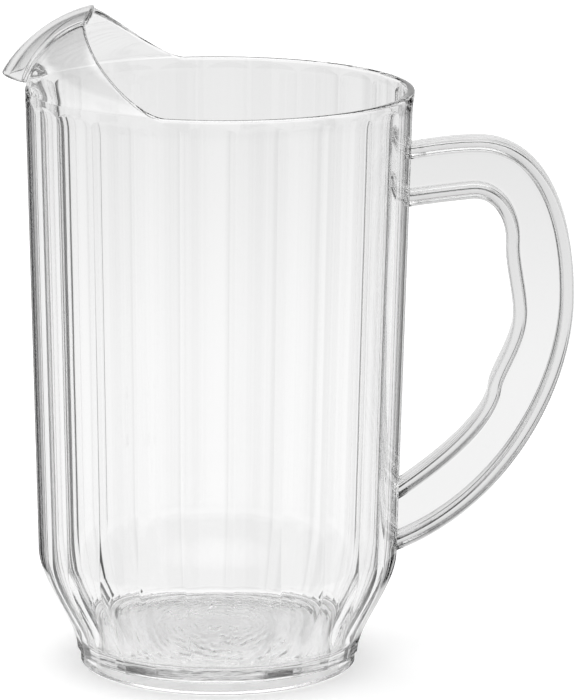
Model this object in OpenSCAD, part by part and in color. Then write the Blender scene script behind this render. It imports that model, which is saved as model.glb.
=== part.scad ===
// Clear fluted beer pitcher with a hooded pouring spout and an open-section handle.
// Origin at the centre of the foot's underside. Spout towards -X, handle towards +X, Z up.

/* [Body] */
// Outside diameter of the plain band at the rim
rim_od = 130; // [115:1:145]
// Height of the rim above the table
rim_z = 197; // [175:1:215]
// Thickness of the wall at the ridges
wall = 2.8; // [2:0.1:4]
// Outside diameter across the ridges where the shoulder begins
shoulder_od = 122.4; // [112:0.2:128]
// Height of the shoulder above the foot
shoulder_h = 35.8; // [28:0.5:44]
// Outside diameter across the ridges where the shoulder meets the foot
neck_od = 96.2; // [88:0.2:104]
// Height of the upper pull on the shoulder's curve, as a share of the shoulder
shoulder_top_share = 0.66; // [0.5:0.01:0.8]
// Height of the lower pull on the shoulder's curve, as a share of the shoulder
shoulder_low_share = 0.27; // [0.15:0.01:0.4]

/* [Flutes] */
// Number of flat flutes round the body, an even number
flutes = 24; // [16:2:32]
// How far the cusps between the flutes end below the rim
cusp_drop = 4.1; // [3:0.1:6]
// How far each flute's arch rises above its cusps
arch_h = 2.2; // [1:0.1:2.8]
// Depth of the band that is cut off as the rim piece, from the rim down
band_h = 6; // [6:0.1:9]

/* [Base] */
// Height of the ring that stands on the table
foot_h = 4.2; // [3:0.1:6]
// How far the foot ring is set in from the foot of the shoulder
foot_step = 1.1; // [0.4:0.1:3]
// Width of the foot ring's sole and web
foot_w = 5.5; // [4:0.1:8]
// Size of the chamfers on the foot ring
foot_chamfer = 0.8; // [0.3:0.1:1.4]
// Thickness of the floor
floor_t = 4.4; // [2.5:0.1:5]
// Diameter of the moulding gate's mark under the floor
gate_d = 7; // [4:0.5:10]
// How far the gate's mark stands out from the floor
gate_h = 0.6; // [0.3:0.1:1.2]

/* [Hooded spout] */
// Height of the roof's rear edge above the rim
hood_h = 26.7; // [20:0.1:34]
// How far the roof reaches in over the mouth
hood_depth = 21.6; // [16:0.1:28]
// How far the tip stands out past the rim
tip_reach = 7.8; // [6:0.1:9]
// Height of the tip's upper edge above the rim
tip_h = 4.4; // [4:0.1:7]
// How far the tip's corners lie behind its middle
tip_sweep = 9; // [7:0.1:11]
// Drop from the middle of the tip to its corners
tip_drop = 0.7; // [0.2:0.1:1.5]
// Width of the roof between its two folds
roof_w = 36.8; // [28:0.2:44]
// Rise of the roof's middle above its folds at the rear edge
roof_crown = 3.6; // [1.5:0.1:4.5]
// How far the rear corners lie ahead of the rear edge's middle
rear_lead = 0.4; // [0:0.1:2]
// Thickness of the hood
hood_t = 2.3; // [1.8:0.1:3]
// Half angle of the pour slot, seen from above
slot_half_angle = 17; // [14:0.5:22]
// Half angle at which the rim begins to rise into the hood
rise_half_angle = 76; // [68:0.5:82]

/* [Handle] */
// Height of the bottom of the handle's lower root
handle_low_z = 42; // [41:0.5:50]
// Height of the handle from its lower root to its top
handle_h = 139.2; // [120:0.2:145]
// How far the handle stands out from the foot of the wall
handle_reach = 58.3; // [50:0.2:64]
// Thickness of the handle's two rails
rail_t = 4; // [3:0.1:5]
// Width of the two rails
rail_w = 14; // [10:0.2:15]
// Thickness of the web between the rails
web_t = 3; // [2:0.1:4]

/* [Hidden] */
$fn = 128;
overrun = wall * 8;
rim_r = rim_od / 2;
shoulder_r = shoulder_od / 2;
neck_r = neck_od / 2;
foot_r = neck_r - foot_step;
shoulder_z = foot_h + shoulder_h;
floor_z = foot_h + floor_t;
band_z = rim_z - band_h;
facet_half = 180 / flutes;
facet_share = cos(facet_half);
rim_in_r = rim_r - wall;

// Number of straight steps that draw each curve
shoulder_steps = 10;
curve_steps = 10;
hood_steps = 18;
cheek_steps = 10;
roof_steps = 10;

// Control points of the roof's middle line and of its folds, as shares of each line's run and rise
roof_shares = [[1, 0], [0.898, 0.296], [0.514, 0.879], [0, 1]];
fold_shares = [[1, 0], [0.935, 0.304], [0.535, 0.856], [0, 1]];
// Control points of a cheek's hoop at the tip and at the rear edge, as shares along, across and up
tip_pull_shares = [[0, 0, 0.35], [0.4, 0.4, 0.75]];
rear_pull_shares = [[0.336, 0.013, 0.026], [0.795, 0.18, 0.714]];
// Control points of the handle's back and of its finger gap, as shares of its reach and height
back_shares = [[-0.1, 0.97], [0.15, 0.989], [0.3, 1], [0.446, 1],
    [0.802, 1], [1, 0.839], [1, 0.614],
    [1, 0.376], [0.592, 0.062], [-0.1, -0.03]];
grip_shares = [[-0.1, 0.826], [0.13, 0.843], [0.3, 0.852], [0.403, 0.857],
    [0.542, 0.865], [0.608, 0.802], [0.606, 0.751],
    [0.597, 0.707], [0.649, 0.633], [0.655, 0.575],
    [0.655, 0.494], [0.524, 0.435], [0.512, 0.38],
    [0.49, 0.317], [0.247, 0.2145], [-0.1, 0.118]];

function mix(a, b, t) = a + (b - a) * t;
function bezier(p, t) = pow(1 - t, 3) * p[0] + 3 * t * pow(1 - t, 2) * p[1]
    + 3 * t * t * (1 - t) * p[2] + t * t * t * p[3];
function back_to_front(v) = [for (i = [len(v) - 1 : -1 : 0]) v[i]];
function unit(v) = v / norm(v);

// Radius across the ridges on the straight part of the wall
function ridge_r(z) = mix(shoulder_r, rim_r, (z - shoulder_z) / (rim_z - shoulder_z));
// Points of the shoulder's curve from the foot up, moved in and up by an inset
function shoulder_line(inset) = let (
    top = [ridge_r(shoulder_z) - inset, shoulder_z],
    low = [neck_r - inset, foot_h + inset * floor_t / wall],
    pulls = [top, [top.x, mix(low.y, top.y, shoulder_top_share)],
        [low.x, mix(low.y, top.y, shoulder_low_share)], low])
    [for (i = [shoulder_steps : -1 : 0]) bezier(pulls, i / shoulder_steps)];
// Outline of one pair of opposite flutes, seen along their length
function flute_line() = concat(
    [for (p = shoulder_line(0)) [p.x * facet_share, p.y]],
    [[ridge_r(rim_z - cusp_drop) * facet_share, rim_z - cusp_drop],
        [mix(facet_share, 1, overrun / arch_h) * rim_r, rim_z - cusp_drop + overrun]]);

module flute_pair() {
    half = flute_line();
    rotate([90, 0, 0])
        linear_extrude(height = rim_od + overrun, center = true)
            polygon(concat(half, [for (p = back_to_front(half)) [-p.x, p.y]]));
}

module fluted_form() {
    intersection_for (i = [0 : flutes / 2 - 1])
        rotate([0, 0, i * 2 * facet_half])
            flute_pair();
}

// Solid of the pitcher's smooth inside
module inside_form() {
    rotate_extrude()
        polygon(concat(
            [[0, foot_h - overrun], [neck_r - wall, foot_h - overrun]],
            shoulder_line(wall),
            [[rim_in_r, rim_z], [rim_in_r, rim_z + overrun], [0, rim_z + overrun]]));
}

// A plain disc between two heights
module slice(z_low, z_high, r) {
    translate([0, 0, z_low])
        cylinder(h = z_high - z_low, r = r);
}

// Solid of the flutes from the foot to the rim piece, with one ring of ridge points at each height
module fluted_wall() {
    rings = concat(shoulder_line(0), [[ridge_r(band_z), band_z]]);
    top = len(rings) - 1;
    points = [for (p = rings, i = [0 : flutes - 1]) let (angle = (2 * i + 1) * facet_half)
        [p.x * cos(angle), p.x * sin(angle), p.y]];
    function at(k, i) = k * flutes + i % flutes;
    sides = [for (k = [0 : top - 1], i = [0 : flutes - 1])
        [at(k, i), at(k + 1, i), at(k + 1, i + 1), at(k, i + 1)]];
    underside = [for (i = [0 : flutes - 1]) at(0, i)];
    upper = [for (i = [flutes - 1 : -1 : 0]) at(top, i)];
    polyhedron(points = points, faces = concat(sides, [underside, upper]));
}

module body_wall() {
    color("LightSteelBlue")
        difference() {
            fluted_wall();
            inside_form();
        }
}

module rim_band() {
    color("SkyBlue")
        difference() {
            intersection() {
                fluted_form();
                translate([0, 0, band_z])
                    cylinder(h = band_h, r1 = ridge_r(band_z), r2 = rim_r);
            }
            inside_form();
        }
}

module floor_disc() {
    color("PowderBlue")
        union() {
            slice(foot_h, floor_z, neck_r - wall);
            slice(foot_h - gate_h, foot_h, gate_d / 2);
        }
}

module foot_ring() {
    color("SteelBlue")
        rotate_extrude()
            polygon([[foot_r - foot_w, foot_chamfer],
                [foot_r - foot_w + foot_chamfer, 0],
                [foot_r - foot_chamfer, 0],
                [foot_r, foot_chamfer],
                [foot_r, foot_h],
                [foot_r - foot_w, foot_h]]);
}

// A line of the roof in the spout's own plane: distance from the axis and height over the rim
function roof_ends(fold) = fold
    ? [[rim_r + tip_reach - tip_sweep, tip_h - tip_drop],
        [rim_r - hood_depth + rear_lead, hood_h - roof_crown]]
    : [[rim_r + tip_reach, tip_h], [rim_r - hood_depth, hood_h]];
function roof_pulls(fold) = let (ends = roof_ends(fold), shares = fold ? fold_shares : roof_shares)
    [for (s = shares) [mix(ends[1].x, ends[0].x, s.x), mix(ends[0].y, ends[1].y, s.y)]];
// The same line moved in square to itself by an inset
function roof_at(fold, u, inset) = let (
    p = roof_pulls(fold),
    a = bezier(p, u),
    step = 1 / hood_steps,
    run = u < 0.5 ? bezier(p, u + step) - a : a - bezier(p, u - step),
    side = unit([run.y, -run.x]))
    a - side * inset;
// One hoop of the hood from the rim on the near side, over the roof, to the rim on the far side
function hoop(u, inset, base_r) = let (
    angle = mix(slot_half_angle, rise_half_angle, u),
    base = [base_r * cos(angle), base_r * sin(angle), 0],
    fold = roof_at(true, u, inset),
    crest = roof_at(false, u, inset),
    half_w = roof_w / 2 - inset / 2,
    corner = [fold.x, half_w, fold.y],
    shares = mix(tip_pull_shares, rear_pull_shares, u),
    pulls = concat([base],
        [for (s = shares) base + [for (k = [0 : 2]) s[k] * (corner[k] - base[k])]],
        [corner]),
    cheek = [for (i = [0 : cheek_steps - 1]) bezier(pulls, i / cheek_steps)],
    roof = [for (i = [0 : roof_steps]) let (t = 1 - 2 * i / roof_steps)
        [mix(crest.x, fold.x, t * t), half_w * t, mix(crest.y, fold.y, t * t)]],
    arch = concat(cheek, roof, [for (p = back_to_front(cheek)) [p.x, -p.y, p.z]]))
    [for (p = arch) [-p.x, -p.y, rim_z + p.z]];

module spout_hood() {
    rows = hood_steps + 1;
    cols = 2 * cheek_steps + roof_steps + 1;
    skin = rows * cols;
    points = concat(
        [for (i = [0 : hood_steps]) each hoop(i / hood_steps, 0, rim_r)],
        [for (i = [0 : hood_steps]) each hoop(i / hood_steps, hood_t, rim_in_r)]);
    function at(side, i, j) = side * skin + i * cols + j;
    outside = [for (i = [0 : rows - 2], j = [0 : cols - 2]) each [
        [at(0, i, j), at(0, i, j + 1), at(0, i + 1, j + 1)],
        [at(0, i, j), at(0, i + 1, j + 1), at(0, i + 1, j)]]];
    inside = [for (i = [0 : rows - 2], j = [0 : cols - 2]) each [
        [at(1, i, j), at(1, i + 1, j + 1), at(1, i, j + 1)],
        [at(1, i, j), at(1, i + 1, j), at(1, i + 1, j + 1)]]];
    tip_edge = [for (j = [0 : cols - 2]) each [
        [at(0, 0, j), at(1, 0, j), at(1, 0, j + 1)],
        [at(0, 0, j), at(1, 0, j + 1), at(0, 0, j + 1)]]];
    rear_edge = [for (j = [0 : cols - 2]) each [
        [at(0, rows - 1, j), at(0, rows - 1, j + 1), at(1, rows - 1, j + 1)],
        [at(0, rows - 1, j), at(1, rows - 1, j + 1), at(1, rows - 1, j)]]];
    near_base = [for (i = [0 : rows - 2]) each [
        [at(0, i, 0), at(0, i + 1, 0), at(1, i + 1, 0)],
        [at(0, i, 0), at(1, i + 1, 0), at(1, i, 0)]]];
    far_base = [for (i = [0 : rows - 2]) each [
        [at(0, i, cols - 1), at(1, i + 1, cols - 1), at(0, i + 1, cols - 1)],
        [at(0, i, cols - 1), at(1, i, cols - 1), at(1, i + 1, cols - 1)]]];
    color("DeepSkyBlue")
        polyhedron(points = points,
            faces = concat(outside, inside, tip_edge, rear_edge, near_base, far_base));
}

// Points of a chain of curves on the handle, from its upper root to its lower root
function handle_line(shares) = let (
    foot_x = shoulder_r * facet_share,
    pulls = [for (s = shares) [foot_x + s.x * handle_reach, handle_low_z + s.y * handle_h]],
    spans = (len(pulls) - 1) / 3)
    concat([pulls[0]], [for (k = [0 : spans - 1], i = [1 : curve_steps])
        bezier([for (n = [0 : 3]) pulls[3 * k + n]], i / curve_steps)]);
// The same line moved square to itself, towards the web
function moved(line, gap) = [for (i = [0 : len(line) - 1]) let (
    run = unit(line[min(i + 1, len(line) - 1)] - line[max(i - 1, 0)]))
    line[i] + gap * [run.y, -run.x]];
back_line = handle_line(back_shares);
grip_line = handle_line(grip_shares);
back_web_line = moved(back_line, rail_t);
grip_web_line = moved(grip_line, -rail_t);

// A flat piece of the handle between two lines, cut to the flute that it stands on
module handle_piece(line_a, line_b, thick) {
    difference() {
        rotate([90, 0, 0])
            linear_extrude(height = thick, center = true)
                polygon(concat(line_a, back_to_front(line_b)));
        flute_pair();
    }
}

module handle_web() {
    color("LightCyan")
        handle_piece(back_web_line, grip_web_line, web_t);
}

module handle_outer_rail() {
    color("CadetBlue")
        handle_piece(back_line, back_web_line, rail_w);
}

module handle_inner_rail() {
    color("MediumTurquoise")
        handle_piece(grip_line, grip_web_line, rail_w);
}

body_wall();
rim_band();
floor_disc();
foot_ring();
spout_hood();
handle_web();
handle_outer_rail();
handle_inner_rail();
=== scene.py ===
"""Clear fluted beer pitcher with a hooded pouring spout: its surfaces, plastic, studio and camera.

Lengths are in millimetres up to the meshes, which are in metres. The origin is the centre of the
foot's sole, Z is up, the spout points to -X and the handle to +X.
"""

import bpy
import numpy as np
from mathutils import Matrix, Vector


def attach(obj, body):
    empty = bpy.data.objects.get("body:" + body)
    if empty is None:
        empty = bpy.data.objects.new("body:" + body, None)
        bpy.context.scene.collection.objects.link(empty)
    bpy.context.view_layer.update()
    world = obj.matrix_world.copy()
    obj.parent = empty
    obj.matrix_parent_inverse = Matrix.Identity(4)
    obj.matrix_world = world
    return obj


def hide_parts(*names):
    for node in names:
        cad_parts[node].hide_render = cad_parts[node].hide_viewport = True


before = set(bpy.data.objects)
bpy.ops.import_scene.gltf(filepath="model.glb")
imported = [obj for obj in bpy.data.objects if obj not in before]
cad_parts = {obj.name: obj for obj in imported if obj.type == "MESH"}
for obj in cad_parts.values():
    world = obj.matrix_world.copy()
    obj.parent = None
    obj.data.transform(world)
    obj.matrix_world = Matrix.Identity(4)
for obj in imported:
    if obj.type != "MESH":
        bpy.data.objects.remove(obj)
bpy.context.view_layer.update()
MM = 0.001

# Body
RIM_R = 65.0
RIM_Z = 197.0
WALL = 2.8
SHOULDER_R = 61.2
SHOULDER_Z = 40.0
NECK_R = 48.1
NECK_ROUND = 0.4
SHOULDER_PULLS = (0.66, 0.27)
FLUTES = 24
RIDGE_ROUND = 3.0
CUSP_DROP = 4.1
ARCH_H = 2.2
ARCH_EASE = 0.35

# Free edges: how far their nose reaches, and how square it is at the mouth and at the pour slot
EDGE_ROUND = 1.3
MOUTH_POWER = 4.0
SLOT_POWER = 5.0

# Base
FOOT_H = 4.2
FOOT_R = 47.0
FOOT_W = 5.5
FOOT_ROUND = 0.8
FOOT_CREASE = 0.12
RECESS_ROUND = 0.8
FLOOR_T = 4.4
FLOOR_CORNER = 2.4
GATE_R = 3.5
GATE_H = 0.2
GATE_SLOPE = 2.0

# Shallow rings on the floor and under it: phase, height and step
FLOOR_RIPPLE = (0.0, 0.05, 3.3)
UNDER_RIPPLE = (2.0, 0.08, 4.4)
RIPPLE_START = 5.0
RIPPLE_FADE = (8.0, 2.0)
RIPPLE_EVEN = 0.25
# Their sines: height, waves round the floor, turn for each millimetre outwards, share of the phase
RIPPLE_WANDER = [(1.1, 3, 0, 1), (0.9, 7, 1 / 9, 2), (0.6, 16, 1 / 4, -1)]
RIPPLE_BREAKS = [((1.0, 5, 1 / 6, 1), (1.0, -2, 1 / 5, 0)),
                 ((0.5, 11, -1 / 3, 1), (1.0, 4, 1 / 2.6, 0))]

# Hooded spout, with a rear edge that is a little deeper and flatter than the solid's
HOOD_H = 26.7
HOOD_DEPTH = 22.8
HOOD_T = 2.3
TIP_REACH = 7.8
TIP_H = 4.4
TIP_SWEEP = 9.0
TIP_DROP = 0.7
ROOF_W = 36.8
ROOF_CROWN = 2.6
REAR_LEAD = 1.8
FOLD_SPREAD = 2.4
FOLD_BEAD = 0.6
FOLD_BEAD_W = 0.9
BEAD_START = 4.0
BEAD_LEAN = (0.5, 0.87)
SLOT_ANGLE = 17.0
RISE_ANGLE = 76.0
ROOF_SHARES = [[1, 0], [0.898, 0.296], [0.514, 0.879], [0, 1]]
FOLD_SHARES = [[1, 0], [0.935, 0.304], [0.535, 0.856], [0, 1]]
TIP_PULLS = [[0, 0, 0.35], [0.4, 0.4, 0.75]]
REAR_PULLS = [[0.3, 0.013, 0.026], [0.89, 0.18, 0.714]]

# Handle
HANDLE_LOW = 42.0
HANDLE_H = 139.2
HANDLE_REACH = 58.3
RAIL_T = 4.0
RAIL_W = 14.0
WEB_T = 3.0
RAIL_ROUND = 1.0
STEP_ROUND = 0.8
WEB_FILLET = 0.7
BACK_SHARES = [[-0.1, 0.97], [0.15, 0.989], [0.3, 1], [0.446, 1], [0.802, 1], [1, 0.839], [1, 0.614],
               [1, 0.376], [0.592, 0.062], [-0.1, -0.03]]
GRIP_SHARES = [[-0.1, 0.826], [0.13, 0.843], [0.3, 0.852], [0.403, 0.857],
               [0.542, 0.865], [0.608, 0.802], [0.606, 0.751],
               [0.597, 0.707], [0.649, 0.633], [0.655, 0.575],
               [0.655, 0.494], [0.524, 0.435], [0.512, 0.38],
               [0.49, 0.317], [0.247, 0.2145], [-0.1, 0.118]]
# Lowest and highest point of the wall that each root covers, and the handle's end that stands there
ROOTS = [(151.0, 185.0, 0), (38.75, 70.0, -1)]

# Half a flute's angle, and how far out its middle lies as a share of its ridges
HALF = np.pi / FLUTES
SHARE = np.cos(HALF)
RIM_IN_R = RIM_R - WALL
FLOOR_Z = FOOT_H + FLOOR_T
CUSP_Z = RIM_Z - CUSP_DROP
FACET_X = SHOULDER_R * SHARE

# Rows of the body: each pair is a height and the number of even rows that lead to it
OUTSIDE_ROWS = [(14, 9), (30, 14), (SHOULDER_Z, 8), (70, 2), (150, 4), (185, 2)]
INSIDE_TOP = 194.0
INSIDE_ROWS = [(150, 2), (60, 4), (SHOULDER_Z, 3), (26, 12), (FLOOR_Z + FLOOR_CORNER, 16)]
ARCH_ROWS = np.array([0.35, 0.6, 0.78, 0.89, 0.96, 1])[:, None]
BAND_ROWS = np.array([0.12, 0.35, 0.7])[:, None]
NOSE = np.array([0, 0.04, 0.17, 0.38, 0.65, 1.0, 1.4])
LIP = RIM_Z - NOSE[::-1]
QUARTER = np.linspace(0, np.pi / 2, 6)
CORNER_TURN = np.linspace(0, np.pi / 2, 8)[1:]
FOOT_SIDE_Z, RING_INSIDE_Z = 2.4, 2.2
RECESS_START, RECESS_END, RECESS_ROWS = 1.4, 0.6, 34
FLOOR_START, FLOOR_ROWS = 0.6, 56
GATE_ROWS = 8

# Columns: shares of the ridge's round and degrees from the ridge, and counts along hood and handle
RIDGE_COLUMNS = [0, 0.5, 1, 1.4]
FLAT_COLUMNS = [1.3, 2.5, 4.0, 5.7]
CHEEK_COLUMNS, ROOF_COLUMNS = 61, 81
MOUTH_STEPS, SLOT_STEPS = 400, 60
SHOULDER_STEPS, RAIL_STEPS, HANDLE_STEPS, HANDLE_ROWS = 600, 200, 1200, 150
WEB_STEPS = 9
# Length that stands for the whole sweep of hoops where they lie close, at the slot and at the rear edge
SLOT_RUN, REAR_RUN = 21.0, 34.0
GUARD = np.radians(0.08)
ROOT_MARGIN = np.radians(0.5)

# Limits of the arithmetic
HALVINGS = 40
ARCH_MARGIN = 0.4
HAIR = 1e-9
WELD_DIGITS = 4


def mix(a, b, t):
    """The value a share t of the way from a to b."""
    return a + (b - a) * t


def bezier(pulls, t):
    """Cubic curve: four control points weighted by (1-t)^3, 3t(1-t)^2, 3t^2(1-t) and t^3."""
    p = np.asarray(pulls, float)
    t = np.asarray(t, float)[..., None]
    return (1 - t) ** 3 * p[0] + 3 * t * (1 - t) ** 2 * p[1] + 3 * t ** 2 * (1 - t) * p[2] + t ** 3 * p[3]


def shoulder_curve(inset):
    """Radius and height along the shoulder from the foot up, moved in and up by an inset."""
    top = np.array([SHOULDER_R - inset, SHOULDER_Z])
    low = np.array([NECK_R - inset, FOOT_H + inset * FLOOR_T / WALL])
    pulls = [low, [low[0], mix(low[1], top[1], SHOULDER_PULLS[1])],
             [top[0], mix(low[1], top[1], SHOULDER_PULLS[0])], top]
    return bezier(pulls, np.linspace(0, 1, SHOULDER_STEPS))


OUTER_LINE = np.vstack([shoulder_curve(0), [RIM_R, RIM_Z]])
INNER_LINE = np.vstack([shoulder_curve(WALL), [RIM_IN_R, RIM_Z]])


def ridge_radius(z):
    """Radius across the ridges at a height: the shoulder's curve, then a straight taper to the rim."""
    return np.interp(z, OUTER_LINE[:, 1], OUTER_LINE[:, 0])


def inside_radius(z):
    """Radius of the smooth inside at a height."""
    return np.interp(z, INNER_LINE[:, 1], INNER_LINE[:, 0])


def flute_radius(theta, z):
    """Polar radius of the fluted outside: flat flutes that meet in ridges rounded by an arc.

    A flute lies at the ridge radius times the cosine of half a flute's angle. Above the cusps it
    flares out in a straight line, eased at its start, and so runs out in an arch under the rim.
    """
    flare = ARCH_EASE * np.logaddexp(0, (z - CUSP_Z) / ARCH_EASE) * (1 - SHARE) * RIM_R / ARCH_H
    apothem = ridge_radius(z) * SHARE + flare
    local = (theta + HALF) % (2 * HALF) - HALF
    off = HALF - np.abs(local)
    centre = (apothem - RIDGE_ROUND) / SHARE
    reach = np.maximum(RIDGE_ROUND ** 2 - (centre * np.sin(off)) ** 2, 0)
    arc = centre * np.cos(off) + np.sqrt(reach)
    touch = np.arctan2(RIDGE_ROUND * np.sin(HALF), centre + RIDGE_ROUND * SHARE)
    return np.where(off < touch, arc, apothem / np.cos(local))


def arch_height(theta):
    """Height at which each flute's flare meets the plain band under the rim, by halving."""
    low, high = np.full_like(theta, CUSP_Z - ARCH_MARGIN), np.full_like(theta, RIM_Z)
    for _ in range(HALVINGS):
        middle = (low + high) / 2
        inside = flute_radius(theta, middle) < ridge_radius(middle)
        low, high = np.where(inside, middle, low), np.where(inside, high, middle)
    return (low + high) / 2


def polar(radius, theta, z):
    """Points at a radius, an angle and a height."""
    radius, theta, z = np.broadcast_arrays(radius, theta, z)
    return np.stack([radius * np.cos(theta), radius * np.sin(theta), z], -1)


def steps(start, *stops):
    """Values from stop to stop, each stop given as (value, number of even steps that lead to it)."""
    values = [np.array([start])]
    for to, count in stops:
        values.append(np.linspace(values[-1][-1], to, count + 1)[1:])
    return np.concatenate(values)


def flute_columns():
    """Angles of the columns over all flutes: close together at each ridge, wider on each flute."""
    touch = RIDGE_ROUND * np.sin(HALF) / RIM_R
    side = np.concatenate([np.array(RIDGE_COLUMNS) * touch, np.radians(FLAT_COLUMNS)])
    local = np.concatenate([HALF - side, [0], -(HALF - side[:0:-1])])
    return np.sort((2 * HALF * np.arange(FLUTES)[:, None] + local[None]).ravel() % (2 * np.pi))


# Hoops from the tip to the rear edge: one at each column, and close rows at the two rounded edges
COLUMNS = flute_columns()
SLOT, RISE = np.radians(SLOT_ANGLE), np.radians(RISE_ANGLE)
CLOSE = mix(SLOT, RISE, np.concatenate([NOSE / SLOT_RUN, 1 - NOSE[::-1] / REAR_RUN]))
BETWEEN = COLUMNS[(COLUMNS > np.pi + SLOT) & (COLUMNS < np.pi + RISE)] - np.pi
BETWEEN = BETWEEN[np.abs(BETWEEN[:, None] - CLOSE[None]).min(1) > GUARD]
HOOP_ANGLES = np.sort(np.concatenate([CLOSE, BETWEEN]))
HOOPS = (HOOP_ANGLES - SLOT) / (RISE - SLOT)


def roof_line(fold, u, inset):
    """Distance from the axis and height over the rim along a line of the roof, moved in by an inset.

    The line is a cubic curve given in shares of its run and rise; the inset is square to the line.
    """
    tip = [RIM_R + TIP_REACH - TIP_SWEEP * fold, TIP_H - TIP_DROP * fold]
    rear = [RIM_R - HOOD_DEPTH + REAR_LEAD * fold, HOOD_H - ROOF_CROWN * fold]
    shares = FOLD_SHARES if fold else ROOF_SHARES
    pulls = [[mix(rear[0], tip[0], s[0]), mix(tip[1], rear[1], s[1])] for s in shares]
    near = 1e-4
    line = bezier(pulls, u)
    run = bezier(pulls, u + near) - bezier(pulls, u - near)
    run /= np.linalg.norm(run, axis=-1, keepdims=True)
    return line - inset * np.stack([run[..., 1], -run[..., 0]], -1)


def soften(arch, spread):
    """Each hoop smoothed along itself by a bell-shaped weight, with its two ends kept in place.

    The bell is cut off at four times its spread, and a hoop goes on past its ends turned about them.
    """
    n = int(4 * spread)
    bell = np.exp(-0.5 * (np.arange(-n, n + 1) / spread) ** 2)
    bell /= bell.sum()
    padded = np.concatenate([2 * arch[:, :1] - arch[:, n:0:-1], arch,
                             2 * arch[:, -1:] - arch[:, -2:-n - 2:-1]], axis=1)
    out = sum(w * padded[:, k:k + arch.shape[1]] for k, w in enumerate(bell))
    out[:, 0], out[:, -1] = arch[:, 0], arch[:, -1]
    return out


def hood_skin(inset, base_r, bead=0.0):
    """Hoops from the rim on the near side, up a cheek, over the roof and down to the far rim.

    A cheek is a cubic curve in space from the rim to the fold; the roof is a parabola between
    the two folds with its top on the roof's middle line. The folds are then softened, and a bead
    stands on each: a bell-shaped rise, sloping up and outwards, by the distance from the fold.
    """
    base = polar(base_r, HOOP_ANGLES, 0.0)
    fold, crest = roof_line(1, HOOPS, inset), roof_line(0, HOOPS, inset)
    half_w = ROOF_W / 2 - inset / 2
    corner = np.stack([fold[:, 0], 0 * HOOPS + half_w, fold[:, 1]], -1)
    shares = mix(np.array(TIP_PULLS)[None], np.array(REAR_PULLS)[None], HOOPS[:, None, None])
    first, second = (base + shares[:, k] * (corner - base) for k in (0, 1))
    pulls = [line[:, None] for line in (base, first, second, corner)]
    cheek = bezier(pulls, np.linspace(0, 1, CHEEK_COLUMNS)[None, :-1])
    s = np.linspace(1, -1, ROOF_COLUMNS)[None]
    roof = np.stack([mix(crest[:, :1], fold[:, :1], s * s), half_w * s + 0 * fold[:, :1],
                     mix(crest[:, 1:], fold[:, 1:], s * s)], -1)
    arch = np.concatenate([cheek, roof, cheek[:, ::-1] * [1, -1, 1]], axis=1)
    arch = soften(arch, FOLD_SPREAD)
    side = np.sign(arch[..., 1])
    ones = np.ones_like(side)
    away = np.linalg.norm(arch - corner[:, None] * np.stack([ones, side, ones], -1), axis=-1)
    rise = bead * np.exp(-0.5 * (away / FOLD_BEAD_W) ** 2) * np.clip(arch[..., 2] / BEAD_START, 0, 1)
    lean = np.stack([0 * side, BEAD_LEAN[0] * side, BEAD_LEAN[1] * ones], -1)
    return (arch + rise[..., None] * lean) * [-1, -1, 1] + [0, 0, RIM_Z]


def distance_to(line, points):
    """Shortest distance from each point to a line of straight pieces."""
    a, b = line[:-1], line[1:]
    run = b - a
    share = np.einsum("psk,sk->ps", points[:, None] - a, run) / (run ** 2).sum(1)
    foot = a + np.clip(share, 0, 1)[..., None] * run
    return np.sqrt(((points[:, None] - foot) ** 2).sum(-1)).min(1)


def nosed(outer, inner, edges, on_edge):
    """Outer and inner skin drawn together in a nose at the free edges.

    Half the thickness is multiplied by (1 - l^p)^(1/p), where l is one minus the share of
    EDGE_ROUND that the middle of the wall lies from the edge. A power p of 2 gives a round nose,
    and a higher one a flat edge with small rounds.
    """
    middle, half = (outer + inner) / 2, (outer - inner) / 2
    flat = middle.reshape(-1, 3)
    share = np.ones(middle.shape[:-1])
    for (edge, power), ends in zip(edges, on_edge):
        away = np.where(ends, 0, distance_to(edge, flat).reshape(share.shape))
        lean = 1 - np.minimum(away, EDGE_ROUND) / EDGE_ROUND
        share = np.minimum(share, (1 - lean ** power) ** (1 / power))
    half = half * share[..., None]
    return middle + half, middle - half


# Patches of surface and flat plates, all welded together where their points meet
patches = []
plates = []


def patch(piece, grid, flip=False, wrap=False, joint=False, curved=False, holes=None):
    """Adds a grid of points to a piece.

    wrap joins its last column to its first, joint marks a meeting face inside the moulding, curved
    marks a skin without flats, and holes drops cells.
    """
    n, m = grid.shape[:2]
    index = np.arange(n * m).reshape(n, m)
    if wrap:
        index = np.concatenate([index, index[:, :1]], axis=1)
    cells = np.stack([index[:-1, :-1], index[:-1, 1:], index[1:, 1:], index[1:, :-1]], -1)
    if holes is not None:
        cells = cells[~holes]
    cells = cells.reshape(-1, 4)
    patches.append((piece, grid.reshape(-1, 3), cells[:, ::-1] if flip else cells, joint, curved))


def plate(piece, loop, joint):
    """Adds one flat face with a loop of points as its outline."""
    plates.append((piece, np.asarray(loop), joint))


def ripple(radius, theta, phase, height, step):
    """Height of the shallow rings that the melt leaves on the floor as it spreads from the gate.

    A sine of the radius over the step, whose phase wanders with the angle by three slower sines,
    broken into short arcs by two products of sines, and faded out at the middle and the edge.
    """
    def wave(tall, waves_round, outwards, share):
        return tall * np.sin(waves_round * theta + outwards * radius + share * phase)

    wander = sum(wave(*each) for each in RIPPLE_WANDER)
    broken = RIPPLE_EVEN + sum(wave(*one) * wave(*other) for one, other in RIPPLE_BREAKS)
    edge = NECK_R - WALL - FLOOR_CORNER
    fade = np.clip((radius - RIPPLE_START) / RIPPLE_FADE[0], 0, 1)
    fade = fade * np.clip((edge - radius) / RIPPLE_FADE[1], 0, 1)
    return height * fade * broken * np.sin(2 * np.pi * radius / step + wander)


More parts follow.
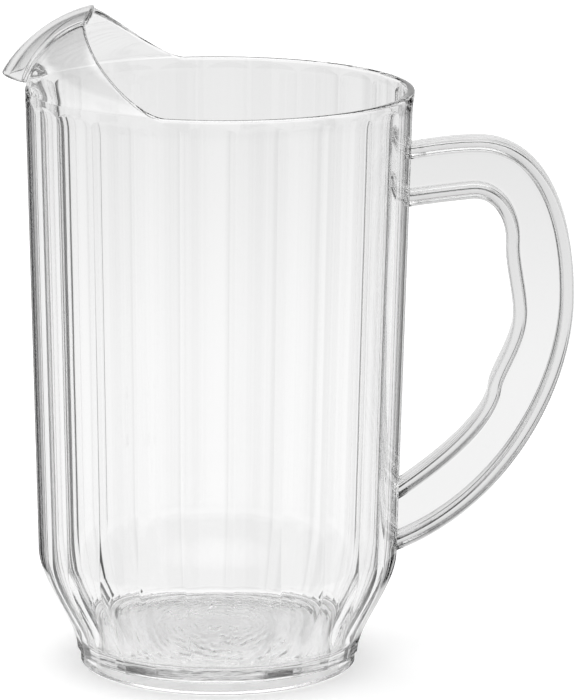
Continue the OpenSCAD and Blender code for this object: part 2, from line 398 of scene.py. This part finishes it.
def body_columns():
    """Angles of the body's columns: those of the flutes, and those of the hoops under the hood."""
    side = np.abs(COLUMNS - np.pi)
    plain = COLUMNS[(side < SLOT - GUARD) | (side > RISE + GUARD)]
    return np.sort(np.concatenate([plain, np.pi + HOOP_ANGLES, np.pi - HOOP_ANGLES]))


def free_edges(middle_hood):
    """Lines in the middle of the wall: the mouth with the hood's rear edge, and the pour slot."""
    middle_r = (RIM_R + RIM_IN_R) / 2
    first, last = HOOP_ANGLES[[0, -1]]
    back = np.linspace(np.pi + last, 3 * np.pi - last, MOUTH_STEPS)
    front = np.linspace(np.pi + first, np.pi - first, SLOT_STEPS)
    return [(np.vstack([polar(middle_r, back, RIM_Z), middle_hood[-1][::-1]]), MOUTH_POWER),
            (np.vstack([polar(middle_r, front, RIM_Z), middle_hood[0][::-1]]), SLOT_POWER)]


def outside_wall(theta):
    """Outside from the foot up to the arches, then the plain band: the lesser of flute and band."""
    heights = steps(FOOT_H + NECK_ROUND, *OUTSIDE_ROWS)
    arch = arch_height(theta)
    lower = np.broadcast_to(heights[:, None], (len(heights), len(theta)))
    z = np.concatenate([lower, mix(heights[-1], arch, ARCH_ROWS), mix(arch, LIP[0], BAND_ROWS)])
    return polar(np.minimum(flute_radius(theta, z), ridge_radius(z)), theta, z)


def lip_skins(theta, edges):
    """Outside and inside of the lip, drawn together in a nose where no hood stands on it."""
    z = np.broadcast_to(LIP[:, None], (len(LIP), len(theta)))
    angle = np.abs(theta - np.pi)
    free = (angle <= HOOP_ANGLES[0] + HAIR) | (angle >= HOOP_ANGLES[-1] - HAIR)
    top = (z == RIM_Z) & free
    on_edge = [top & (angle > np.pi / 4), top & (angle < np.pi / 4)]
    return nosed(polar(ridge_radius(z), theta, z), polar(inside_radius(z), theta, z), edges, on_edge)


def foot_skin(theta):
    """The foot as a line of radius and height turned about the axis, from the flutes to the middle.

    A small round under the flutes, the ring with its sole, the recess with its shallow rings, and
    the gate's mark, whose side is half a wave of a sine.
    """
    cos, sin = np.cos(QUARTER), np.sin(QUARTER)
    neck = flute_radius(theta, np.full_like(theta, FOOT_H + NECK_ROUND))
    under = polar(neck - NECK_ROUND + NECK_ROUND * cos[:, None], theta,
                  FOOT_H + NECK_ROUND - NECK_ROUND * sin[:, None])
    ring_in = FOOT_R - FOOT_W
    recess = np.linspace(ring_in - RECESS_START, GATE_R + GATE_SLOPE + RECESS_END, RECESS_ROWS)
    t = np.linspace(1, -1, GATE_ROWS)
    line = np.concatenate([
        [(FOOT_R + FOOT_CREASE, FOOT_H), (FOOT_R + FOOT_CREASE / 4, FOOT_H - FOOT_CREASE / 4),
         (FOOT_R, FOOT_H - FOOT_CREASE), (FOOT_R, FOOT_SIDE_Z)],
        np.stack([FOOT_R - FOOT_ROUND * (1 - cos), FOOT_ROUND * (1 - sin)], -1),
        np.stack([ring_in + FOOT_ROUND * (1 - sin), FOOT_ROUND * (1 - cos)], -1),
        [(ring_in, RING_INSIDE_Z)],
        np.stack([ring_in - RECESS_ROUND * (1 - cos), FOOT_H - RECESS_ROUND * (1 - sin)], -1),
        np.stack([recess, np.full_like(recess, FOOT_H)], -1),
        np.stack([GATE_R + GATE_SLOPE * t, FOOT_H - GATE_H * (1 - np.sin(t * np.pi / 2)) / 2], -1),
        [(0.0, FOOT_H - GATE_H)]])
    radius, height = line[:, :1], line[:, 1:]
    beneath = (radius < recess[0]) & (radius > GATE_R + GATE_SLOPE)
    waves = np.where(beneath, ripple(radius, theta, *UNDER_RIPPLE), 0)
    return np.concatenate([under, polar(radius, theta, height + waves)])


def inside_wall(theta):
    """Smooth inside from under the lip: wall and shoulder, a rounded corner, and the rippled floor."""
    wall_z = steps(INSIDE_TOP, *INSIDE_ROWS)
    wall_r = inside_radius(wall_z)
    corner_r = wall_r[-1] - FLOOR_CORNER * (1 - np.cos(CORNER_TURN))
    corner_z = FLOOR_Z + FLOOR_CORNER * (1 - np.sin(CORNER_TURN))
    floor_r = np.linspace(corner_r[-1] - FLOOR_START, 0, FLOOR_ROWS)
    radius = np.concatenate([wall_r, corner_r, floor_r])[:, None]
    height = np.concatenate([wall_z, corner_z, np.full_like(floor_r, FLOOR_Z)])[:, None]
    waves = np.where(radius <= floor_r[0], ripple(radius, theta, *FLOOR_RIPPLE), 0)
    return polar(radius, theta, height + waves)


def body_and_hood():
    """The body's two skins, its foot and floor, and the hood that rises out of its rim."""
    theta = body_columns()
    outer_hood, inner_hood = hood_skin(0, RIM_R, FOLD_BEAD), hood_skin(HOOD_T, RIM_IN_R)
    edges = free_edges((outer_hood + inner_hood) / 2)
    outside = outside_wall(theta)
    lip_out, lip_in = lip_skins(theta, edges)
    holes = root_holes(outside, theta)
    patch("clear_body", np.concatenate([outside, lip_out[:1]]), wrap=True, holes=holes)
    patch("clear_body", lip_out, wrap=True, curved=True)
    patch("clear_body", foot_skin(theta)[::-1], wrap=True)
    patch("clear_body", np.concatenate([lip_in[::-1], inside_wall(theta)]), wrap=True, curved=True)
    # Hood, and the two joints between it and the rim
    at_edge = np.zeros((2, *outer_hood.shape[:2]), bool)
    at_edge[0, -1] = at_edge[1, 0] = True
    hood_out, hood_in = nosed(outer_hood, inner_hood, edges, at_edge)
    for side, column in ((0, np.pi + HOOP_ANGLES), (-1, np.pi - HOOP_ANGLES)):
        pick = np.abs(theta[:, None] - column[None]).argmin(0)
        hood_out[:, side], hood_in[:, side] = lip_out[-1][pick], lip_in[-1][pick]
        seat = np.stack([hood_out[:, side], hood_in[:, side]], 1)
        patch("clear_hood", seat, flip=side == -1, joint=True)
        patch("clear_body", seat, flip=side == 0, joint=True)
    patch("clear_hood", hood_out, flip=True, curved=True)
    patch("clear_hood", hood_in, curved=True)


def handle_line(shares):
    """Even points along a chain of cubic curves of the handle, with the unit normal to its web."""
    pulls = np.array([FACET_X, HANDLE_LOW]) + np.array(shares) * [HANDLE_REACH, HANDLE_H]
    t = np.linspace(0, 1, RAIL_STEPS)
    chain = np.concatenate([bezier(pulls[k:k + 4], t)[(k > 0):] for k in range(0, len(pulls) - 1, 3)])
    length = np.concatenate([[0], np.cumsum(np.linalg.norm(np.diff(chain, axis=0), axis=1))])
    even = np.linspace(0, length[-1], HANDLE_STEPS)
    line = np.stack([np.interp(even, length, chain[:, k]) for k in (0, 1)], -1)
    run = np.gradient(line, axis=0)
    run /= np.linalg.norm(run, axis=1, keepdims=True)
    return line, np.stack([run[:, 1], -run[:, 0]], -1)


def facet_apothem(z):
    """Distance of the handle's flute from the axis on the straight part of the wall."""
    return mix(SHOULDER_R, RIM_R, (z - SHOULDER_Z) / (RIM_Z - SHOULDER_Z)) * SHARE


def rail_section():
    """Half of a rail's outline as depth from its face and distance from the middle, face to web.

    Two rounded corners on the rail and a hollow fillet where it meets the web.
    """
    half, foot = RAIL_W / 2, WEB_T / 2
    cos, sin = np.cos(QUARTER), np.sin(QUARTER)
    face = np.linspace(0, half - RAIL_ROUND, 5)[:-1]
    step = np.linspace(half - STEP_ROUND, foot + WEB_FILLET, 6)[1:-1]
    return np.concatenate([
        np.stack([0 * face, face], -1),
        np.stack([RAIL_ROUND * (1 - cos), half - RAIL_ROUND * (1 - sin)], -1),
        np.stack([RAIL_T - STEP_ROUND * (1 - sin), half - STEP_ROUND * (1 - cos)], -1),
        np.stack([0 * step + RAIL_T, step], -1),
        np.stack([RAIL_T + WEB_FILLET * (1 - cos), foot + WEB_FILLET * (1 - sin)], -1)])


def handle_grid():
    """Half of the handle as a grid: rows along it, columns from the outer rail's face to the inner's.

    Each column is the back or the grip line moved towards the web by the section's depth, or a
    blend of the two across the web, cut off at both ends where it meets the flute that it stands on.
    """
    section = rail_section()
    back, back_n = handle_line(BACK_SHARES)
    grip, grip_n = handle_line(GRIP_SHARES)
    outer = back[:, None] + section[None, :, :1] * back_n[:, None]
    inner = (grip[:, None] - section[None, :, :1] * grip_n[:, None])[:, ::-1]
    share = np.linspace(0, 1, WEB_STEPS)[1:-1]
    web = mix(outer[:, -1:], inner[:, :1], share[None, :, None])
    columns = np.concatenate([outer, web, inner], axis=1)
    y = np.concatenate([section[:, 1], np.full(len(share), WEB_T / 2), section[::-1, 1]])
    grid = np.zeros((HANDLE_ROWS, columns.shape[1], 3))
    count = np.arange(HANDLE_STEPS)
    for k in range(columns.shape[1]):
        x, z = columns[:, k].T
        over = x - facet_apothem(z)
        first, last = np.argmax(over > 0), HANDLE_STEPS - 1 - np.argmax(over[::-1] > 0)
        start = first - over[first] / (over[first] - over[first - 1])
        stop = last + over[last] / (over[last] - over[last + 1])
        at = np.linspace(start, stop, HANDLE_ROWS)
        grid[:, k] = np.stack([np.interp(at, count, x), 0 * at + y[k], np.interp(at, count, z)], -1)
    for end in (0, -1):
        grid[end, :, 0] = facet_apothem(grid[end, :, 2])
    return grid, len(section), len(share)


HANDLE, RAIL_COLS, WEB_COLS = handle_grid()


def root_holes(outside, theta):
    """Marks the flute's cells under the two handle roots, and closes round each root with flat faces."""
    holes = np.zeros(outside.shape[:2], bool)
    z = outside[:, 0, 2]
    turned = (theta + np.pi) % (2 * np.pi)
    reach = np.where(np.abs(turned - np.pi) < HALF - ROOT_MARGIN)[0]
    order = reach[np.argsort(turned[reach])]
    middle = len(order) // 2
    for low, high, end in ROOTS:
        r0, r1 = np.argmin(np.abs(z - low)), np.argmin(np.abs(z - high))
        holes[r0:r1, order[:-1]] = True
        half = HANDLE[end] if end == 0 else HANDLE[end][::-1]
        for side, around in ((1, order[middle:]), (-1, order[middle::-1])):
            loop = np.concatenate([outside[r0, around], outside[r0 + 1:r1, around[-1]],
                                   outside[r1, around[::-1]], half * [1, side, 1]])
            plate("clear_body", loop[::side], False)
    return holes


def caps(piece, loop):
    """Closes both ends of a handle piece, and gives the body the same faces the other way round."""
    for end, way_round in ((0, 1), (-1, -1)):
        plate(piece, loop[end][::way_round], True)
        plate("clear_body", loop[end][::-way_round], True)


def handle():
    """The handle's two rails and its web, with the joints between them and to the body."""
    a, b = RAIL_COLS, RAIL_COLS + WEB_COLS
    mirror = np.array([1, -1, 1])
    outer, web, inner = HANDLE[:, :a], HANDLE[:, a - 1:b + 1], HANDLE[:, b:]
    rails = (("clear_outer_rail", np.concatenate([(outer * mirror)[:, ::-1], outer[:, 1:]], axis=1)),
             ("clear_inner_rail", np.concatenate([inner, (inner * mirror)[:, -2::-1]], axis=1)))
    for piece, loop in rails:
        patch(piece, loop, flip=True)
        patch(piece, loop[:, [-1, 0]], flip=True, joint=True)
        caps(piece, loop)
    patch("clear_web", web, flip=True)
    patch("clear_web", web * mirror)
    patch("clear_web", np.stack([web[:, 0] * mirror, web[:, 0]], 1), flip=True, joint=True)
    patch("clear_web", np.stack([web[:, -1], web[:, -1] * mirror], 1), flip=True, joint=True)
    caps("clear_web", np.concatenate([web, (web * mirror)[:, ::-1]], axis=1))


body_and_hood()
handle()


def weld():
    """All patches as one set of points, each point once, with one normal for each.

    Points that agree to a ten-thousandth of a millimetre are one. A normal is the sum of the
    normals of the faces round the point: each as long as its area next to flats, which keeps the
    flats flat, and as one over its area on curved skins, which is exact there with uneven columns.
    Joints and plates, which are flat, are left out.
    """
    points = np.concatenate([p[1] for p in patches] + [p[1] for p in plates])
    _, first, same = np.unique(np.round(points, WELD_DIGITS), axis=0, return_index=True, return_inverse=True)
    points, same = points[first], same.ravel()
    faces, loops, offset = [], [], 0
    for piece, grid, cells, joint, curved in patches:
        faces.append((piece, same[cells + offset], joint, curved))
        offset += len(grid)
    for piece, loop, joint in plates:
        loops.append((piece, same[np.arange(len(loop)) + offset], joint))
        offset += len(loop)
    normals = np.zeros_like(points)
    for _, cells, joint, curved in faces:
        if not joint:
            a, b, c, d = (points[cells[:, k]] for k in range(4))
            area = np.cross(c - a, d - b)
            if curved:
                area = area / np.maximum((area ** 2).sum(1, keepdims=True), HAIR)
            for k in range(4):
                np.add.at(normals, cells[:, k], area)
    normals /= np.maximum(np.linalg.norm(normals, axis=1, keepdims=True), HAIR)
    return points, normals, faces, loops


def build(looks):
    """Makes one closed mesh of each piece, with the shared normals on its skin and flat joints."""
    points, normals, faces, loops = weld()
    made = {}
    for name, materials in looks.items():
        corners, sizes, joints, flats = [], [], [], []
        for piece, cells, joint, _ in faces:
            if piece != name:
                continue
            distinct = cells != np.roll(cells, 1, axis=1)
            count = distinct.sum(1)
            for sides in (3, 4):
                rows = count == sides
                corners.append(cells[rows][distinct[rows]])
                sizes.append(np.full(rows.sum(), sides))
                joints.append(np.full(rows.sum(), joint))
                flats.append(joints[-1])
        for piece, loop, joint in loops:
            if piece == name:
                loop = loop[loop != np.roll(loop, 1)]
                corners.append(loop)
                sizes.append(np.array([len(loop)]))
                joints.append(np.array([joint]))
                flats.append(np.array([True]))
        corners, sizes, joints, flats = (np.concatenate(v) for v in (corners, sizes, joints, flats))
        used, corner_index = np.unique(corners, return_inverse=True)
        starts = np.concatenate([[0], np.cumsum(sizes)[:-1]])
        mesh = bpy.data.meshes.new(name)
        mesh.vertices.add(len(used))
        mesh.vertices.foreach_set("co", (points[used] * MM).astype(np.float32).ravel())
        mesh.loops.add(len(corners))
        mesh.loops.foreach_set("vertex_index", corner_index.astype(np.int32).ravel())
        mesh.polygons.add(len(sizes))
        mesh.polygons.foreach_set("loop_start", starts.astype(np.int32))
        mesh.polygons.foreach_set("material_index", joints.astype(np.int32))
        mesh.update(calc_edges=True)
        for material in materials:
            mesh.materials.append(material)
        mesh.shade_smooth()
        face_normals = np.zeros(len(sizes) * 3, np.float32)
        mesh.polygons.foreach_get("normal", face_normals)
        flat = np.repeat(face_normals.reshape(-1, 3), sizes, axis=0)
        split = np.where(np.repeat(flats, sizes)[:, None], flat, normals[corners])
        mesh.normals_split_custom_set(split.tolist())
        made[name] = bpy.data.objects.new(name, mesh)
        bpy.context.scene.collection.objects.link(made[name])
        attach(made[name], "root")
    return made


# Plastic: its index, the length, stretch and depth of the polish's waves, and the dull patches
STYRENE_IOR = 1.57
POLISH_WAVE = 11.0
POLISH_STRETCH = 0.35
POLISH_DEPTH = 0.02
SCUFF_PATCH = 28.0
SCUFF_RANGE = (0.45, 0.75)
SCUFF_ROUGH = 0.03


def linear(code):
    """An sRGB hex colour as linear red, green, blue and full alpha."""
    c = np.array([int(code[i:i + 2], 16) for i in (1, 3, 5)]) / 255
    return (*np.where(c <= 0.04045, c / 12.92, ((c + 0.055) / 1.055) ** 2.4), 1.0)


def node(tree, kind, settings=(), *sources, **links):
    """Adds a node, sets its properties and plain inputs, and links sources in order or by socket name."""
    made = tree.nodes.new(kind)
    for key, value in dict(settings).items():
        if isinstance(key, int) or key in made.inputs:
            made.inputs[key].default_value = value
        else:
            setattr(made, key, value)
    for key, source in [*enumerate(sources), *links.items()]:
        tree.links.new(source, made.inputs[key if isinstance(key, int) else key.replace("_", " ")])
    return made


def material(name):
    """An empty node material, its tree and its output node."""
    made = bpy.data.materials.new(name)
    made.use_nodes = True
    made.node_tree.nodes.clear()
    return made, made.node_tree, node(made.node_tree, "ShaderNodeOutputMaterial")


def moulded_styrene(name, painted_shade_tint):
    """Clear styrene-acrylonitrile, injection moulded in a polished tool; a grey tint paints shade on it, and
    white paints none.
    """
    made, tree, out = material(name)
    place = node(tree, "ShaderNodeTexCoord").outputs["Object"]
    # The polish leaves a faint long waviness, so that straight lines behind the wall run a little uneven
    drawn = node(tree, "ShaderNodeMapping", {"Scale": (1, 1, POLISH_STRETCH)}, Vector=place)
    waves = node(tree, "ShaderNodeTexNoise", {
        "Scale": 1 / (POLISH_WAVE * MM), "Detail": 1.0, "Roughness": 0.4}, Vector=drawn.outputs[0])
    bump = node(tree, "ShaderNodeBump", {
        "Strength": 1.0, "Distance": POLISH_DEPTH * MM}, Height=waves.outputs[0])
    # Handling leaves soft dull patches of a few centimetres on the gloss
    dull = node(tree, "ShaderNodeTexNoise", {
        "Scale": 1 / (SCUFF_PATCH * MM), "Detail": 3.0, "Roughness": 0.6}, Vector=place)
    gloss = node(tree, "ShaderNodeMapRange", {
        "From Min": SCUFF_RANGE[0], "From Max": SCUFF_RANGE[1], "To Min": 0.0, "To Max": SCUFF_ROUGH},
        Value=dull.outputs[0])
    skin = node(tree, "ShaderNodeBsdfPrincipled", {
        "Base Color": linear(painted_shade_tint), "IOR": STYRENE_IOR, "Transmission Weight": 1.0},
        Normal=bump.outputs[0], Roughness=gloss.outputs[0])
    tree.links.new(skin.outputs[0], out.inputs["Surface"])
    return made


def unseen_joint():
    """Where two regions of the one moulding meet there is no surface, so nothing shows."""
    made, tree, out = material("joint_inside_the_moulding")
    skin = node(tree, "ShaderNodeBsdfPrincipled", {"Base Color": linear("#FFFFFF"), "Alpha": 0.0})
    tree.links.new(skin.outputs[0], out.inputs["Surface"])
    return made


# The walls are as clear as water; the web and the thicker rails are grey copies of that plastic, the web a
# trace grey and the rails more so, as painted shade for the dimmer look the room gives them
WALL_CLEAR = moulded_styrene("clear_styrene_moulded", "#FFFFFF")
WEB_PLASTIC_PAINTED_SHADE = moulded_styrene("clear_styrene_web_painted_shade", "#F6F6F6")
RAIL_PLASTIC_PAINTED_SHADE = moulded_styrene("clear_styrene_rails_painted_shade", "#E9E9E9")
JOINT = unseen_joint()
PIECES = {
    "clear_body": (WALL_CLEAR, ("body_wall", "rim_band", "floor_disc", "foot_ring")),
    "clear_hood": (WALL_CLEAR, ("spout_hood",)),
    "clear_outer_rail": (RAIL_PLASTIC_PAINTED_SHADE, ("handle_outer_rail",)),
    "clear_inner_rail": (RAIL_PLASTIC_PAINTED_SHADE, ("handle_inner_rail",)),
    "clear_web": (WEB_PLASTIC_PAINTED_SHADE, ("handle_web",)),
}
pitcher = build({name: (plastic, JOINT) for name, (plastic, _) in PIECES.items()})
for name, (_, nodes) in PIECES.items():
    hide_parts(*nodes)

# Floor in metres: the wide sheet, and the disc of paper that shows through the foot
FLOOR_HALF = 4.0
FLOOR_DROP = 0.0004
DISC_R = 0.046
DISC_DROP = 0.0003
DISC_CORNERS = 96
# A little glow of its own keeps the paper white under the grey parts of the room
PAPER_GLOW = 0.42

# Studio: greys are shares of white, and heights are the upward part of a direction from the object
PANELS = 8
WALL_LIGHT = 0.97
TOP_LIGHT = 1.8
# Grey along one panel and the gap beside it, by the degrees from the panel's start
PANEL_STOPS = [(2.5, 1), (4.5, 0.92), (10, 0.92), (12, 1), (14, 1), (17.5, 0), (29, 0), (30.5, 1)]
# Between these degrees from the middle of the back wall, the gaps begin to be half closed
FAR_GAPS_FROM = (35, 50)
FAR_GAPS = 0.5
# Each band by the heights where it starts and ends, its values there, and its kind of change
BANDS = {
    "panel_foot": (-0.5, -0.42, 0.0, 1.0, "LINEAR"),
    "panel_shade": (-0.16, -0.23, 0.86, 1.0, "SMOOTHSTEP"),
    "panel_top": (0.02, 0.08, 0.0, 1.0, "LINEAR"),
    "upper_wall": (0.25, 0.30, 0.8, 0.03, "LINEAR"),
    "top_light": (0.66, 0.76, 0.0, 1.0, "LINEAR"),
}

paper, tree, out = material("white_paper_floor")
lit = node(tree, "ShaderNodeBsdfDiffuse", {"Color": linear("#F0F0F0")})
glow = node(tree, "ShaderNodeEmission", {"Strength": PAPER_GLOW})
both = node(tree, "ShaderNodeAddShader", (), lit.outputs[0], glow.outputs[0])
tree.links.new(both.outputs[0], out.inputs["Surface"])


def sheet(name, outline, height):
    """A flat sheet of the floor's paper with an outline in metres."""
    mesh = bpy.data.meshes.new(name)
    mesh.from_pydata([(x, y, height) for x, y in outline], [], [tuple(range(len(outline)))])
    mesh.materials.append(paper)
    made = bpy.data.objects.new(name, mesh)
    bpy.context.scene.collection.objects.link(made)
    return made


# The wide floor shows to the camera only; rays bent by the plastic see the room, and the disc at the foot
wide = sheet("floor", [(x * FLOOR_HALF, y * FLOOR_HALF) for x, y in ((-1, -1), (1, -1), (1, 1), (-1, 1))],
             -FLOOR_DROP)
wide.visible_transmission = wide.visible_glossy = False
circle = np.linspace(0, 2 * np.pi, DISC_CORNERS + 1)[:-1]
sheet("floor_at_foot", [(DISC_R * np.cos(t), DISC_R * np.sin(t)) for t in circle], -DISC_DROP)

world = bpy.data.worlds.new("studio")
bpy.context.scene.world = world
world.use_nodes = True
tree = world.node_tree
tree.nodes.clear()
way = node(tree, "ShaderNodeSeparateXYZ", Vector=node(tree, "ShaderNodeTexCoord").outputs["Generated"])
bearing = node(tree, "ShaderNodeMath", {"operation": "ARCTAN2"}, way.outputs["X"], way.outputs["Y"])
band = {name: node(tree, "ShaderNodeMapRange", {
    "interpolation_type": change, "From Min": low, "From Max": high, "To Min": start, "To Max": end},
    Value=way.outputs["Z"]).outputs[0] for name, (low, high, start, end, change) in BANDS.items()}
# Eight tall white panels stand round the table, shaded in places, with dark gaps between them
around = node(tree, "ShaderNodeMath", {
    "operation": "FLOORED_MODULO", 1: 2 * np.pi / PANELS}, bearing.outputs[0])
share = node(tree, "ShaderNodeMapRange", {"From Max": 2 * np.pi / PANELS}, Value=around.outputs[0])
walls = node(tree, "ShaderNodeValToRGB", Fac=share.outputs[0])
stops = walls.color_ramp.elements
while len(stops) < len(PANEL_STOPS):
    stops.new(0.5)
for stop, (degrees, grey) in zip(stops, PANEL_STOPS):
    stop.position = degrees * PANELS / 360
    stop.color = (grey * WALL_LIGHT, grey * WALL_LIGHT, grey * WALL_LIGHT, 1)
# Only the two gaps beside the back wall are dark, the others are half closed
aside = node(tree, "ShaderNodeMath", {"operation": "ABSOLUTE"}, bearing.outputs[0])
half_closed = node(tree, "ShaderNodeMapRange", {
    "From Min": np.radians(FAR_GAPS_FROM[0]), "From Max": np.radians(FAR_GAPS_FROM[1]), "To Max": FAR_GAPS},
    Value=aside.outputs[0])
closed = node(tree, "ShaderNodeMath", {"operation": "MAXIMUM"}, walls.outputs[0], half_closed.outputs[0])
# A little less light towards the panels' tops, and one pale wall below their feet
graded = node(tree, "ShaderNodeMath", {"operation": "MULTIPLY"}, closed.outputs[0], band["panel_shade"])
panels = node(tree, "ShaderNodeMix", {"A": WALL_LIGHT}, Factor=band["panel_foot"], B=graded.outputs[0])
# Above the panels a plain wall, a dark gap that draws the level edges, and the top light
room = node(tree, "ShaderNodeMix", Factor=band["panel_top"], A=panels.outputs[0], B=band["upper_wall"])
level = node(tree, "ShaderNodeMix", {"B": TOP_LIGHT}, Factor=band["top_light"], A=room.outputs[0])
# The camera itself sees plain white behind the object
seen = node(tree, "ShaderNodeLightPath")
shown = node(tree, "ShaderNodeMix", {"B": 1.0}, Factor=seen.outputs["Is Camera Ray"], A=level.outputs[0])
back = node(tree, "ShaderNodeBackground", {"Color": (1, 1, 1, 1)}, Strength=shown.outputs[0])
node(tree, "ShaderNodeOutputWorld", Surface=back.outputs[0])

# Camera at the photograph's place, turned a little about its own axis
CAMERA_AT = Vector((71.72, -1605.08, 469.77)) * MM
CAMERA_AIM = Vector((24.06, 0.714, 107.43)) * MM
ROLL = np.radians(0.38)
FOCAL_PIXELS, PICTURE_H, SENSOR = 4883.8, 700, 36
view = bpy.data.cameras.new("camera")
view.lens, view.sensor_width, view.sensor_fit = FOCAL_PIXELS / PICTURE_H * SENSOR, SENSOR, "AUTO"
view.clip_start, view.clip_end = 0.1, 50
camera = bpy.data.objects.new("camera", view)
bpy.context.scene.collection.objects.link(camera)
ahead = (CAMERA_AIM - CAMERA_AT).normalized()
right = ahead.cross(Vector((0, 0, 1))).normalized()
up = right.cross(ahead)
right, up = (right * np.cos(ROLL) + up * np.sin(ROLL), up * np.cos(ROLL) - right * np.sin(ROLL))
axes = Matrix((right, up, -ahead)).transposed().to_4x4()
camera.matrix_world = Matrix.Translation(CAMERA_AT) @ axes
scene = bpy.context.scene
scene.camera = camera
scene.view_settings.view_transform = "Standard"
# Light crosses many walls before it leaves the pitcher
scene.cycles.max_bounces = 40
scene.cycles.transmission_bounces = 36
scene.cycles.glossy_bounces = 20
scene.cycles.transparent_max_bounces = 64
